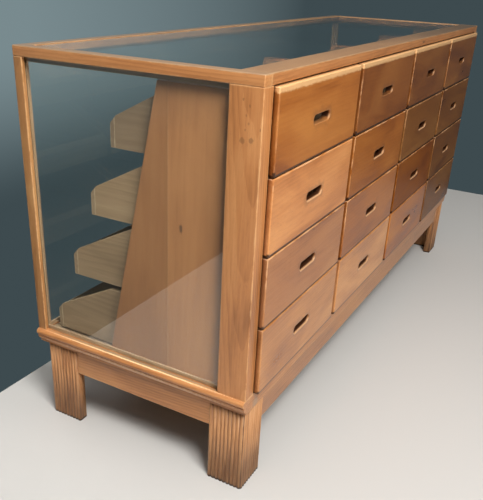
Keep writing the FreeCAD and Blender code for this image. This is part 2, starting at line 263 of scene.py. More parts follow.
# besides stains, some of these marks are painted light and shade, as noted at each
marks = {   # places in mm, each with its reach, strength and tone
    "stileMarks": [
        ((-910, -248, 799), (6, 6.5, 7), 0.38, soot), ((-910, -266, 801), (6, 6, 7), 0.42, soot),
        ((-910, -247, 870), (4, 2.4, 3.5), 0.4, soot), ((-910, -260, 860), (4, 2.4, 3.5), 0.35, soot),
        ((-910, -254, 843), (4, 2.2, 3.5), 0.35, soot), ((-910, -259, 830), (4, 2.6, 3), 0.3, soot),
        ((-910, -253, 818), (4, 2.4, 3), 0.3, soot), ((-910, -283, 822), (4, 2, 4), 0.4, soot)],
    "railMarks": [
        ((117, -286.5, 904), (15, 4, 4), 0.6, soot), ((0, 0, 915), (1e5, 1e5, 2.4), 0.55, dustAndSheen),
        # painted shade: the right part of the front rail's top face darkened, where the light falls off
        ((800, -255, 915), (900, 70, 3), 0.60, (0.125, 0.088, 0.057, 1))],
    "topDustAndSheen": [((0, 0, 915), (1e5, 1e5, 2.4), 0.65, dustAndSheen)],
    "knotsAndHeadShade": [
        # painted shade: a broad dark patch at the head of the left partition, under the top rail
        ((-892, -60, 888), (40, 260, 110), 0.28, (0.22, 0.095, 0.035, 1)),
        # a small dark knot
        ((-892, -110, 597), (6, 4.5, 13), 0.85, soot)],
    "frontMarks": [
        ((-644, -298.5, 561), (6, 4, 3), 0.8, soot), ((-248, -298.5, 623), (5, 4, 3.5), 0.5, soot)],
    # painted highlight, with some wear: a pale band along the top edge of the top-row fronts
    "crownHighlight": [((0, -296, 887.5), (1e5, 14, 8.5), 0.85, (0.84, 0.50, 0.23, 1))],
    "mouldingMarks": [
        # painted light: the cove of the left moulding made paler where it lies in shade
        ((-906, 6, 226), (14, 330, 10), 0.75, (0.72, 0.44, 0.24, 1)),
        # a dark greyish strip along the top of the nosing
        ((-905, 6, 250), (4.5, 330, 1.2), 0.75, (0.26, 0.21, 0.13, 1)),
        # painted highlight: a pale line along the nosing's top arris
        ((-911.3, 6, 249.5), (2.3, 330, 2.0), 0.90, (0.92, 0.66, 0.37, 1))],
    "baseMarks": [((-861, -286.5, 221), (15, 5, 16), 0.5, (0.36, 0.27, 0.19, 1))],
}
# dark tones: dirt from hands round a slot and dust in the grooves; painted shade with some dirt on a front's
# lower arris; painted shade on the slot walls; and a tone that darkens the legs towards the floor
dirtAndShade = dict(arris=(0.030, 0.010, 0.004, 1), hands=(0.16, 0.060, 0.022, 1), slotWall=(0.060, 0.018, 0.006, 1),
            groove=(0.055, 0.024, 0.012, 1), foot=(0.035, 0.020, 0.014, 1))
# painted shade: a cool darkening laid over the slot walls deeper in
slotShadeTint = (0.72, 0.78, 1.0, 1)
poreShare = (0.5, 0.45, 0.4)        # a pore's red, green and blue, as shares of the darkest wood's
slotSizes = dict(length=86 * mm, height=20 * mm)


def bareWood(tree, look, grain):
    # the wood's own colour, from its cloud, fibre, rings and pores
    rings, fibre, pores, cloud = grain.outputs
    tone = 0.5
    for share, source in ((look["cloud"], cloud), (look["fibre"], fibre), (look["rings"], rings)):
        tone = calc(tree, "MULTIPLY_ADD", calc(tree, "SUBTRACT", source, 0.5), share, tone)
    ramp = put(tree, "ShaderNodeValToRGB", {"Fac": tone})
    ramp.color_ramp.elements[0].position = 0.22
    ramp.color_ramp.elements[1].position = 0.80
    ramp.color_ramp.elements.new(0.5)
    for element, key in zip(ramp.color_ramp.elements, ("dark", "mid", "pale")):
        element.color = (*look[key], 1)
    colour = blend(tree, 1.0, ramp.outputs["Color"], attribute(tree, "boardTint", "Color"), "MULTIPLY")
    poreTone = [channel * share for channel, share in zip(look["dark"], poreShare)]
    return blend(tree, times(tree, pores, look["pores"]), colour, (*poreTone, 1))


def rubbedArris(tree, look, board, ragged):
    # arrises pale from wear and as painted highlight, with a ragged inner limit
    reach = times(tree, ranged(tree, ragged, 0.25, 0.75, 0.25, 1.6), look["edgeWidth"])
    share = calc(tree, "DIVIDE", board.outputs["Edge Distance"], reach)
    return times(tree, inverted(tree, ranged(tree, share, 0.15, 1.0)), look["edgeAmount"])


def frontWear(tree, arrisWearAndHighlight, point, board):
    # the pale arrises of a drawer front are paler on its upper half, as painted highlight where light from
    # above catches them; they are paler higher on the case, and some stretches are hardly pale at all
    patchy = ranged(tree, noise(tree, point, (11.0, 11.0, 11.0), 2.0), 0.36, 0.60, 0.2, 1.0)
    onBoard = ranged(tree, upright(tree, board.outputs["Local"]), -0.055, 0.065, 0.25, 1.0)
    onCase = ranged(tree, upright(tree, point), 0.36, 0.60, 0.45, 1.0)
    return times(tree, times(tree, times(tree, arrisWearAndHighlight, patchy), onBoard), onCase)


def usedFront(tree, look, colour, point, board):
    # a dark lower arris, painted shade with some dirt; wood darkened by hands round the slot; slot walls in
    # painted shade, cooler deeper in; and a rim rubbed pale, with painted highlight on its lower half
    # painted shade, with some dirt: the lower arris of a front darkened
    lowerArrisShade = times(tree, ranged(tree, board.outputs["Edge Distance"], 0.0065, 0.0030),
                  ranged(tree, upright(tree, board.outputs["Local"]), -0.069, -0.073, 0.0, 0.93))
    colour = blend(tree, lowerArrisShade, colour, dirtAndShade["arris"])
    rim = put(tree, "ShaderNodeGroup", {
        "Local": board.outputs["Local"], "Straight": (slotSizes["length"] - slotSizes["height"]) / 2,
        "Radius": slotSizes["height"] / 2}, node_tree=slotReach)
    distance, below, depth = rim.outputs

    limit = ranged(tree, noise(tree, point, (45.0, 45.0, 60.0), 3.0), 0.3, 0.7, 0.006, 0.024)
    handled = inverted(tree, ranged(tree, calc(tree, "DIVIDE", distance, limit), 0.0, 1.0))
    colour = blend(tree, times(tree, handled, 0.38), colour, dirtAndShade["hands"])
    # painted shade: the slot walls darkened deeper in, with a cool tint further in
    deep = times(tree, ranged(tree, depth, 0.0012, 0.006, 0.0, 0.95), ranged(tree, distance, 0.0022, 0.0012))
    colour = blend(tree, deep, colour, dirtAndShade["slotWall"])
    slotCoolShade = times(tree, ranged(tree, depth, 0.0022, 0.0042), 0.8)
    colour = blend(tree, slotCoolShade, colour, slotShadeTint, "MULTIPLY")
    rimWearAndHighlight = times(tree, inverted(tree, ranged(tree, calc(tree, "ABSOLUTE", distance), 0.0006, 0.0036)),
                   inverted(tree, ranged(tree, depth, 0.002, 0.006)))
    # painted highlight: the rim paler on its lower half, where light from above falls
    rimWearAndHighlight = times(tree, rimWearAndHighlight, calc(tree, "MULTIPLY_ADD", below, 0.62, 0.04))
    return blend(tree, rimWearAndHighlight, colour, (*look["edgeTone"], 1))


def usedLeg(tree, look, colour, point, ragged):
    # dust in the grooves between the reeds, and the feet darker towards the floor
    patchy = ranged(tree, noise(tree, point, (90.0, 90.0, 12.0), 2.0), 0.3, 0.65, 0.4, 1.0)
    streaky = ranged(tree, noise(tree, point, (62.0, 62.0, 1.0), 0.0), 0.36, 0.62, 0.25, 1.0)
    deep = ranged(tree, attribute(tree, "groove", "Fac"), 0.30, 1.0)
    groove = times(tree, deep, times(tree, patchy, streaky))
    colour = blend(tree, times(tree, groove, look["groove"]), colour, dirtAndShade["groove"])
    height = calc(tree, "MULTIPLY_ADD", ragged, -0.010, upright(tree, point))
    footDarkening = times(tree, ranged(tree, height, look["foot"], -0.004), 0.9)
    return blend(tree, footDarkening, colour, dirtAndShade["foot"])


# lays marks on the colour: stains, and painted light and shade
def stained(tree, colour, point, spots):
    for centre, size, strength, tone in spots:
        spot = put(tree, "ShaderNodeGroup", {
            "Vector": point, "Centre": [v * mm for v in centre], "Size": [v * mm for v in size]},
            node_tree=stainAndLightSpot)
        colour = blend(tree, times(tree, spot.outputs["Mask"], strength), colour, tone)
    return colour


def woodMaterial(name, look, axis, spots):
    material, tree, point = newMaterial(name)
    board = put(tree, "ShaderNodeGroup", {"Vector": point}, node_tree=boardFrame)
    turned = put(tree, "ShaderNodeMapping", {"Vector": board.outputs["Local"],
                                             "Rotation": grainTurn[axis]}).outputs["Vector"]
    grain = put(tree, "ShaderNodeGroup", {
        "Vector": turned, "Seed": board.outputs["Seed"], "Ring Spacing": look["ringSpacing"],
        "Tilt": look["tilt"]}, node_tree=oakGrain)
    rings, fibre, pores, cloud = grain.outputs

    ragged = noise(tree, point, (38.0, 38.0, 38.0), 3.0, 0.6)
    arrisWearAndHighlight = rubbedArris(tree, look, board, ragged)
    if look.get("slot"):
        arrisWearAndHighlight = frontWear(tree, arrisWearAndHighlight, point, board)
    colour = blend(tree, arrisWearAndHighlight, bareWood(tree, look, grain), (*look["edgeTone"], 1))
    if look.get("slot"):
        colour = usedFront(tree, look, colour, point, board)
    if look.get("groove"):
        colour = usedLeg(tree, look, colour, point, ragged)
    colour = stained(tree, colour, point, spots)

    rough = ranged(tree, cloud, 0.3, 0.7, look["roughness"] - 0.06, look["roughness"] + 0.07, False)
    rough = calc(tree, "MULTIPLY_ADD", arrisWearAndHighlight, 0.12, rough)
    height = calc(tree, "MULTIPLY_ADD", fibre, 0.5, times(tree, rings, 0.25))
    height = calc(tree, "MULTIPLY_ADD", pores, -0.8, height)
    height = calc(tree, "MULTIPLY_ADD", ragged, 0.8, height)
    bump = put(tree, "ShaderNodeBump", {"Strength": look["bump"], "Distance": 0.0004,
                                        "Height": height}).outputs["Normal"]
    polish = attribute(tree, "boardTint", "Alpha")
    surface(tree, put(tree, "ShaderNodeBsdfPrincipled", {
        "Base Color": colour, "Roughness": rough, "Normal": bump, "IOR": 1.5,
        "Specular IOR Level": times(tree, polish, 0.5),
        "Coat Weight": times(tree, polish, look["coat"]), "Coat Roughness": 0.22}))
    return material


madeFinishes = {}


def finish(kind, axis, spots=""):
    key = kind + axis + spots
    if key not in madeFinishes:
        madeFinishes[key] = woodMaterial("oak " + key, finishes[kind], axis, marks.get(spots, ()))
    return madeFinishes[key]


def glassMaterial(name, tint):
    material, tree, point = newMaterial(name)
    smear = noise(tree, point, (5.0, 5.0, 9.0), 4.0, 0.6, 0.8)
    rough = ranged(tree, smear, 0.45, 0.75, 0.0, 0.02)
    ripple = noise(tree, point, (2.2, 2.2, 2.2), 1.0)
    bump = put(tree, "ShaderNodeBump", {"Strength": 0.12, "Distance": 0.002,
                                        "Height": ripple}).outputs["Normal"]
    pane = put(tree, "ShaderNodeBsdfPrincipled", {
        "Base Color": tint, "Roughness": rough, "Normal": bump, "IOR": 1.58,
        "Transmission Weight": 1.0, "Metallic": 0.0})
    clear = put(tree, "ShaderNodeBsdfTransparent", {"Color": (0.93, 0.95, 0.94, 1)})
    shadow = put(tree, "ShaderNodeLightPath").outputs["Is Shadow Ray"]
    surface(tree, put(tree, "ShaderNodeMixShader", {0: shadow, 1: pane.outputs[0], 2: clear.outputs[0]}))
    return material


print("finishes ready")


# Joinery
arrisSizes = dict(plain=0.8 * mm, apron=1.2 * mm, moulding=0.5 * mm, bearer=1.0 * mm, bead=0.6 * mm,
                  partition=0.6 * mm, runner=0.5 * mm, tray=0.9 * mm)
arrisAngle = 38         # degrees: the least turn between two faces that counts as an arris
arrisSegments = 2
roundSteps = 4
tintSpread = dict(light=0.07, warm=0.025)       # how far boards of one timber differ
plainTint = (1, 1, 1)
attributeKinds = {"boardLow": ("FLOAT_VECTOR", "vector"), "boardHigh": ("FLOAT_VECTOR", "vector"),
                  "boardSeed": ("FLOAT", "value"), "boardTint": ("FLOAT_COLOR", "color"),
                  "groove": ("FLOAT", "value")}


def prism(outline, axis, start, end):
    # a board of any section
    build = bmesh.new()
    loops = []
    for t in (start, end):
        loops.append([build.verts.new({"X": (t, a, b), "Y": (a, t, b), "Z": (a, b, t)}[axis])
                      for a, b in outline])
    build.faces.new(loops[0])
    build.faces.new(loops[1])
    for i in range(len(outline)):
        j = (i + 1) % len(outline)
        build.faces.new((loops[0][i], loops[0][j], loops[1][j], loops[1][i]))
    bmesh.ops.recalc_face_normals(build, faces=build.faces)
    return build


def block(x0, x1, y0, y1, z0, z1):
    return prism([(x0, y0), (x1, y0), (x1, y1), (x0, y1)], "Z", z0, z1)


def rounded(build, radius, wanted):
    edges = [e for e in build.edges if wanted((e.verts[0].co + e.verts[1].co) / 2,
                                              (e.verts[1].co - e.verts[0].co).normalized())]
    bmesh.ops.bevel(build, geom=edges, offset=radius, segments=roundSteps, profile=0.5,
                    affect="EDGES", clamp_overlap=True)
    return build


def mirrorX(build):
    for vertex in build.verts:
        vertex.co.x = -vertex.co.x
    bmesh.ops.reverse_faces(build, faces=build.faces)
    return build


def piece(name, boards, kind, body, nodes, arris=arrisSizes["plain"], spots="", tints=None):
    # joins boards into one mesh, each with its own seed, tint and box for the finish
    mesh = bpy.data.meshes.new(name)
    points, faces, slots, materials = [], [], [], []
    values = {key: [] for key in attributeKinds}
    for index, (build, axis) in enumerate(boards):
        chance = random.Random(name + str(index))
        material = finish(kind, axis, spots)
        if material not in materials:
            materials.append(material)
        start = len(points)
        build.verts.index_update()
        low = [min(v.co[i] for v in build.verts) for i in range(3)]
        high = [max(v.co[i] for v in build.verts) for i in range(3)]
        depth = build.verts.layers.float.get("groove")
        seed = chance.random()
        light = chance.uniform(1 - tintSpread["light"], 1 + tintSpread["light"])
        warm = chance.uniform(-tintSpread["warm"], tintSpread["warm"])
        tint = (light * (1 + warm), light, light * (1 - warm), 1)
        if tints:       # red, green, blue and, as a fourth value, how polished the board still is
            tint = tuple(a * b for a, b in zip((*tints[index], 1)[:4], tint))
        for vertex in build.verts:
            points.append(tuple(vertex.co))
            values["boardLow"] += low
            values["boardHigh"] += high
            values["boardSeed"].append(seed)
            values["boardTint"] += tint
            values["groove"].append(vertex[depth] if depth else 0.0)
        for face in build.faces:
            faces.append([start + v.index for v in face.verts])
            slots.append(materials.index(material))
        build.free()
    mesh.from_pydata(points, [], faces)
    mesh.polygons.foreach_set("material_index", slots)
    for key, (store, field) in attributeKinds.items():
        if key == "groove" and kind != "leg":
            continue
        mesh.attributes.new(key, store, "POINT").data.foreach_set(field, values[key])
    for material in materials:
        mesh.materials.append(material)
    mesh.shade_smooth()
    mesh.update()
    made = placed(name, mesh)
    if arris:
        bevel = made.modifiers.new("arris", "BEVEL")
        bevel.width, bevel.segments = arris, arrisSegments
        bevel.limit_method, bevel.angle_limit = "ANGLE", math.radians(arrisAngle)
        bevel.harden_normals = True
    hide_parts(*nodes)
    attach(made, body)
    return made


# Main planes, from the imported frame
railLow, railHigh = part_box("top_rail_left")
left = railLow.x
front, rear = railLow.y, railHigh.y
top, topUnder = railHigh.z, railLow.z
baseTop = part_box("stile_left")[0].z
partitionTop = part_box("head_rail")[0].z
floorLow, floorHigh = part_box("floor_panel")
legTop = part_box("leg_front_left")[1].z
seatGap = 0.3 * mm      # between a piece and the seat it lies in
nearby = 0.01 * mm      # two points, or a point and a plane, that lie this near count as meeting
alongAxis = 0.99        # least share of an edge's direction for it to run along an axis

# Reeded legs
legSizes = dict(width=90 * mm, board=25 * mm, reeds=9, depth=2.4 * mm, steps=8)


def makeReedTree():
    # one mitred board standing up, its reeds along one face
    tree = bpy.data.node_groups.new("reeded board", "GeometryNodeTree")
    for label, kind in (("Width", "NodeSocketFloat"), ("Height", "NodeSocketFloat"),
                        ("Thickness", "NodeSocketFloat"), ("Depth", "NodeSocketFloat"),
                        ("Reeds", "NodeSocketInt"), ("Steps", "NodeSocketInt"),
                        ("Material", "NodeSocketMaterial")):
        tree.interface.new_socket(name=label, in_out="INPUT", socket_type=kind)
    tree.interface.new_socket(name="Geometry", in_out="OUTPUT", socket_type="NodeSocketGeometry")
    given = put(tree, "NodeGroupInput")
    width, height, thickness, depth, reeds, steps, material = given.outputs[:7]
    columns = calc(tree, "ADD", times(tree, reeds, steps), 1.0)
    grid = put(tree, "GeometryNodeMeshGrid", {"Size X": width, "Size Y": thickness,
                                              "Vertices X": columns, "Vertices Y": 2})
    position = put(tree, "GeometryNodeInputPosition").outputs[0]
    x, y = put(tree, "ShaderNodeSeparateXYZ", {0: position}).outputs[:2]
    s = calc(tree, "ADD", x, times(tree, width, 0.5))
    inner = put(tree, "FunctionNodeCompare", {0: y, 1: 0.0}, data_type="FLOAT",
                operation="GREATER_THAN").outputs[0]
    share = calc(tree, "FRACT", calc(tree, "ADD", calc(tree, "DIVIDE", times(tree, s, reeds),
                                                       width), 0.0001))
    across = calc(tree, "MULTIPLY_ADD", share, 2.0, -1.0)
    square = times(tree, across, across)
    bulge = times(tree, calc(tree, "SUBTRACT", square, 1.0), depth)
    outerPoint = put(tree, "ShaderNodeCombineXYZ", {0: s, 1: bulge}).outputs[0]
    innerPoint = put(tree, "ShaderNodeCombineXYZ", {0: calc(tree, "MAXIMUM", s, thickness),
                                                    1: thickness}).outputs[0]
    chosen = put(tree, "GeometryNodeSwitch", {0: inner, 1: outerPoint, 2: innerPoint},
                 input_type="VECTOR").outputs[0]
    stored = put(tree, "GeometryNodeStoreNamedAttribute", {
        "Geometry": grid.outputs["Mesh"], "Name": "groove",
        "Value": times(tree, square, inverted(tree, inner))},
        data_type="FLOAT", domain="POINT").outputs[0]
    shaped = put(tree, "GeometryNodeSetPosition", {"Geometry": stored, "Position": chosen}).outputs[0]
    lift = put(tree, "ShaderNodeCombineXYZ", {2: height}).outputs[0]
    raised = put(tree, "GeometryNodeExtrudeMesh", {"Mesh": shaped, "Offset": lift, "Offset Scale": 1.0,
                                                   "Individual": False}).outputs["Mesh"]
    base = put(tree, "GeometryNodeFlipFaces", {0: shaped}).outputs[0]
    joined = put(tree, "GeometryNodeJoinGeometry")
    tree.links.new(raised, joined.inputs[0])
    tree.links.new(base, joined.inputs[0])
    merged = put(tree, "GeometryNodeMergeByDistance", {0: joined.outputs[0], "Distance": nearby}).outputs[0]
    real = put(tree, "GeometryNodeRealizeInstances", {0: merged}).outputs[0]
    painted = put(tree, "GeometryNodeSetMaterial", {"Geometry": real, "Material": material}).outputs[0]
    put(tree, "NodeGroupOutput", {0: painted})
    return tree


def grown(tree, values, name):
    # runs a tree on an empty mesh and returns the plain result
    holder = placed(name, bpy.data.meshes.new(name))
    modifier = holder.modifiers.new(name, "NODES")
    modifier.node_group = tree
    for item in tree.interface.items_tree:
        if item.in_out == "INPUT" and item.name in values:
            modifier[item.identifier] = values[item.name]
    graph = bpy.context.evaluated_depsgraph_get()
    mesh = bpy.data.meshes.new_from_object(holder.evaluated_get(graph))
    holder.modifiers.remove(modifier)
    bpy.data.objects.remove(holder)
    return mesh


reedMesh = grown(makeReedTree(), {
    "Width": legSizes["width"] - legSizes["depth"], "Height": legTop,
    "Thickness": legSizes["board"] - legSizes["depth"], "Depth": legSizes["depth"],
    "Reeds": legSizes["reeds"], "Steps": legSizes["steps"], "Material": finish("leg", "Z")}, "reededBoard")


def legBoard(corner, sideX, sideY, alongX):
    build = bmesh.new()
    build.from_mesh(reedMesh)
    for vertex in build.verts:
        s, w, z = vertex.co
        across, along = (w, s) if not alongX else (s, w)
        vertex.co = (corner[0] + sideX * across, corner[1] + sideY * along, z)
    bmesh.ops.recalc_face_normals(build, faces=build.faces)
    return build


for node in ("leg_front_left", "leg_front_right", "leg_rear_left", "leg_rear_right"):
    low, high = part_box(node)
    sideX, sideY = (1 if "left" in node else -1), (1 if "front" in node else -1)
    corner = ((low.x if sideX > 0 else high.x) + sideX * legSizes["depth"],
              (low.y if sideY > 0 else high.y) + sideY * legSizes["depth"])
    piece(node.replace("leg_", "leg.").replace("_", "."),
          [(legBoard(corner, sideX, sideY, False), "Z"), (legBoard(corner, sideX, sideY, True), "Z")],
          "leg", "cabinet", [node], arris=0)
print("legs made")

# Aprons, base moulding and floor
apronSizes = dict(board=20 * mm)


def boxBoard(node):
    low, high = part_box(node)
    return block(low.x, high.x, low.y, high.y, low.z, high.z)


low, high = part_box("end_aprons")
endApron = block(low.x, low.x + apronSizes["board"], low.y, high.y, low.z, high.z)
piece("aprons.end", [(endApron, "Y"), (mirrorX(endApron.copy()), "Y")], "frame", "cabinet",
      ["end_aprons"], arris=arrisSizes["apron"])
low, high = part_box("long_aprons")
piece("aprons.long", [(block(low.x, high.x, low.y, low.y + apronSizes["board"], low.z, high.z), "X"),
                      (block(low.x, high.x, high.y - apronSizes["board"], high.y, low.z, high.z), "X")],
      "frame", "cabinet", ["long_aprons"], arris=arrisSizes["apron"])

mouldingSizes = dict(nosing=17 * mm, quirk=0.4 * mm, projection=4 * mm, drop=13 * mm, run=9 * mm,
                     board=34 * mm, steps=10, tint=(1.14, 1.15, 1.16))
ledgeX = floorLow.x - seatGap


def mouldedMember():
    # a bullnose, a quirk and a cove outside, a seat for the floor inside
    m = mouldingSizes
    radius = m["nosing"] / 2
    outline = []
    for i in range(m["steps"] * 2 + 1):
        angle = math.pi / 2 + math.pi * i / (m["steps"] * 2)
        outline.append((left + radius * math.cos(angle), baseTop - radius + radius * math.sin(angle)))
    coveTop = baseTop - m["nosing"] - m["quirk"]
    outline.append((left, coveTop))
    for i in range(m["steps"] + 1):
        angle = math.pi / 2 * i / m["steps"]
        outline.append((left - m["projection"] + m["run"] * (1 - math.cos(angle)),
                        coveTop - m["drop"] * math.sin(angle)))
    outline += [(left + m["run"] - m["projection"], legTop), (left + m["board"], legTop),
                (left + m["board"], floorLow.z), (ledgeX, floorLow.z), (ledgeX, baseTop)]
    return prism(outline, "Y", front, rear)


def baseRail(lipFace, lipBack, railBack):
    # a lip that laps over the end members and frames the floor, and the rail behind it
    x = left + mouldingSizes["board"]
    lip = prism([(x, legTop), (-x, legTop), (-x, floorLow.z), (-ledgeX, floorLow.z), (-ledgeX, baseTop),
                 (ledgeX, baseTop), (ledgeX, floorLow.z), (x, floorLow.z)], "Y", lipFace, lipBack)
    rail = block(x, -x, min(lipBack, railBack), max(lipBack, railBack), legTop, floorLow.z)
    return [(lip, "X"), (rail, "X")]


for name, boards, spots in (
        ("left", [(mouldedMember(), "Y")], "mouldingMarks"),
        ("right", [(mirrorX(mouldedMember()), "Y")], ""),
        ("front", baseRail(front, floorLow.y - seatGap, front + mouldingSizes["board"]), "baseMarks"),
        ("rear", baseRail(rear, floorHigh.y + seatGap, rear - mouldingSizes["board"]), "")):
    piece("moulding." + name, boards, "frame", "cabinet", ["base_moulding_" + name],
          arris=arrisSizes["moulding"], spots=spots,
          tints=[mouldingSizes["tint"]] if len(boards) == 1 else None)

bearerSizes = dict(width=45 * mm, count=3)
piece("floor", [(boxBoard("floor_panel"), "X")], "inner", "cabinet", ["floor_panel"])
bearerLow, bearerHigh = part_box("floor_bearers")
bearerStep = (bearerHigh.x - bearerLow.x - bearerSizes["width"]) / (bearerSizes["count"] - 1)
bearers = []
for i in range(bearerSizes["count"]):
    x = bearerLow.x + i * bearerStep
    bearers.append((block(x, x + bearerSizes["width"], bearerLow.y, bearerHigh.y,
                          bearerLow.z, bearerHigh.z), "Y"))
piece("bearers", bearers, "inner", "cabinet", ["floor_bearers"], arris=arrisSizes["bearer"])
print("base made")

# Upright frame and top
frameSizes = dict(board=27 * mm, stile=70 * mm, post=24 * mm, frontRail=62 * mm, rearRail=27 * mm,
                  ledge=8 * mm, round=2.5 * mm, setback=9 * mm, glass=5 * mm, recess=2 * mm, clearance=1 * mm,
                  rebate=10 * mm, bead=4 * mm, beadHeight=10 * mm, lip=10 * mm, postTint=(0.76, 0.84, 0.84))
f = frameSizes
glassInner = f["setback"] + f["glass"]
partitionOffset = glassInner + f["bead"]
railStart = front + f["lip"]
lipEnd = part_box("partition_left")[1].x      # the stile's lip covers the end partition, up to the drawers
paneFront = front + f["stile"] - f["rebate"]
paneEnd = rear - f["post"] + f["rebate"]


def onOuterCorner(middle, way):
    return middle.x < left + nearby and abs(way.z) > alongAxis


def leftStile():
    plan = [(left, front), (lipEnd, front), (lipEnd, railStart),
            (left + partitionOffset, railStart), (left + partitionOffset, paneFront),
            (left + f["setback"], paneFront), (left + f["setback"], front + f["stile"]),
            (left, front + f["stile"])]
    return rounded(prism(plan, "Z", baseTop, topUnder), f["round"], onOuterCorner)


def leftPost():
    step = left + partitionOffset - f["clearance"]
    plan = [(left, rear - f["post"]), (left + f["setback"], rear - f["post"]),
            (left + f["setback"], paneEnd), (step, paneEnd), (step, rear - f["setback"]),
            (left + f["board"], rear - f["setback"]), (left + f["board"], rear), (left, rear)]
    return rounded(prism(plan, "Z", baseTop, topUnder), f["round"], onOuterCorner)


piece("stile.left", [(leftStile(), "Z")], "frame", "cabinet", ["stile_left"], spots="stileMarks")
piece("stile.right", [(mirrorX(leftStile()), "Z")], "frame", "cabinet", ["stile_right"])
piece("posts.rear", [(leftPost(), "Z"), (mirrorX(leftPost()), "Z")], "frame", "cabinet",
      ["rear_posts"], tints=[f["postTint"]] * 2)

railFront, railRear = front + f["frontRail"], rear - f["rearRail"]
innerX = left + f["board"]
paneSeat = top - f["recess"] - f["glass"]


def endRail():
    build = block(left, innerX, front, rear, topUnder, top)
    return rounded(build, f["round"], lambda middle, way: middle.x < left + nearby or
                   middle.z > top - nearby and abs(way.x) > alongAxis)


def endLedge():
    return block(innerX, innerX + f["ledge"], railFront, railRear, topUnder, paneSeat)


for name, side in (("left", lambda b: b), ("right", mirrorX)):
    piece("rail." + name, [(side(endRail()), "Y"), (side(endLedge()), "Y")], "frame", "cabinet",
          ["top_rail_" + name], spots="topDustAndSheen")
for name, y0, y1, sign in (("front", front, railFront, 1), ("rear", railRear, rear, -1)):
    outer = front if sign > 0 else rear
    rail = rounded(block(innerX, -innerX, y0, y1, topUnder, top), f["round"],
                   lambda middle, way: abs(middle.y - outer) < nearby and abs(way.x) > alongAxis)
    edge = railFront if sign > 0 else railRear
    lip = block(innerX + f["ledge"], -innerX - f["ledge"], min(edge, edge + sign * f["ledge"]),
                max(edge, edge + sign * f["ledge"]), topUnder, paneSeat)
    piece("rail." + name, [(rail, "X"), (lip, "X")], "frame", "cabinet", ["top_rail_" + name],
          spots="railMarks" if sign > 0 else "topDustAndSheen")
piece("rail.head", [(boxBoard("head_rail"), "X")], "frame", "cabinet", ["head_rail"])

beadX = (left + glassInner + seatGap, left + partitionOffset)
beadFoot, beadHead = baseTop + f["beadHeight"], topUnder - f["beadHeight"]


def endBeads():
    return [(block(*beadX, paneFront, paneEnd, baseTop, beadFoot), "Y"),
            (block(*beadX, paneFront, paneEnd, beadHead, topUnder), "Y"),
            (block(*beadX, paneFront, paneFront + f["beadHeight"], beadFoot, beadHead), "Z"),
            (block(*beadX, paneEnd - f["beadHeight"], paneEnd, beadFoot, beadHead), "Z")]


beadY = (rear - glassInner - f["bead"], rear - glassInner - seatGap)
beadSpan = beadX[1]
rearBeads = [(block(beadSpan, -beadSpan, *beadY, baseTop, beadFoot), "X"),
             (block(beadSpan, -beadSpan, *beadY, beadHead, topUnder), "X"),
             (block(beadSpan, beadSpan + f["beadHeight"], *beadY, beadFoot, beadHead), "Z"),
             (block(-beadSpan - f["beadHeight"], -beadSpan, *beadY, beadFoot, beadHead), "Z")]
piece("beads", endBeads() + [(mirrorX(build), axis) for build, axis in endBeads()] + rearBeads,
      "inner", "cabinet", ["glazing_beads"], arris=arrisSizes["bead"])

paneGlass = glassMaterial("window glass", (0.965, 0.985, 0.975, 1))
for node in ("top_glass", "end_glass", "rear_glass"):
    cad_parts[node].data.materials.clear()
    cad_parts[node].data.materials.append(paneGlass)
print("frame and glass made")

# Partitions and runners
partitionSizes = dict(thickness=18 * mm, rearBoardTop=25 * mm, overhang=131 * mm)
partitionTints = dict(tail=(0.80, 0.79, 0.79), inner=(1.25, 1.05, 0.95))
drawerCounts = dict(rows=4, columns=4)
drawerGaps = dict(side=1 * mm, row=3 * mm)
firstLow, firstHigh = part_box("drawer_front_r1c1")
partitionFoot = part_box("partition_left")[1].y
bayWidth = (firstHigh.x - firstLow.x) + 2 * drawerGaps["side"]
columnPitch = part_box("drawer_front_r1c2")[0].x - firstLow.x
firstBay = firstLow.x - drawerGaps["side"]
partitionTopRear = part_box("drawer_tray_r1c1")[1].y - partitionSizes["overhang"]
partitionJoint = partitionTopRear - partitionSizes["rearBoardTop"]


def partitionBoards(x0, nose=True):
    # an inner partition comes forward over the lip of the base rail, to the case face
    x1 = x0 + partitionSizes["thickness"]
    foot = [(front, baseTop), (railStart, baseTop)] if nose else []
    head = [(partitionJoint, partitionTop), (front if nose else railStart, partitionTop)]
    main = prism(foot + [(railStart, floorHigh.z), (partitionJoint, floorHigh.z)] + head, "X", x0, x1)
    tail = prism([(partitionJoint, floorHigh.z), (partitionFoot, floorHigh.z),
                  (partitionTopRear, partitionTop), (partitionJoint, partitionTop)], "X", x0, x1)
    return [(main, "Z"), (tail, "Z")]


endTints = [plainTint, partitionTints["tail"]]
endX = left + partitionOffset
piece("partition.left", partitionBoards(endX, False), "partition", "cabinet", ["partition_left"],
      spots="knotsAndHeadShade", tints=endTints,
      arris=arrisSizes["partition"])
piece("partition.right", [(mirrorX(build), axis) for build, axis in partitionBoards(endX, False)],
      "partition", "cabinet", ["partition_right"], tints=endTints,
      arris=arrisSizes["partition"])
inner = []
for division in range(1, drawerCounts["columns"]):
    inner += partitionBoards(firstBay + division * columnPitch - partitionSizes["thickness"])
piece("partitions.inner", inner, "partition", "cabinet", ["inner_partitions"],
      tints=[partitionTints["inner"], partitionTints["tail"]] * (drawerCounts["columns"] - 1),
      arris=arrisSizes["partition"])

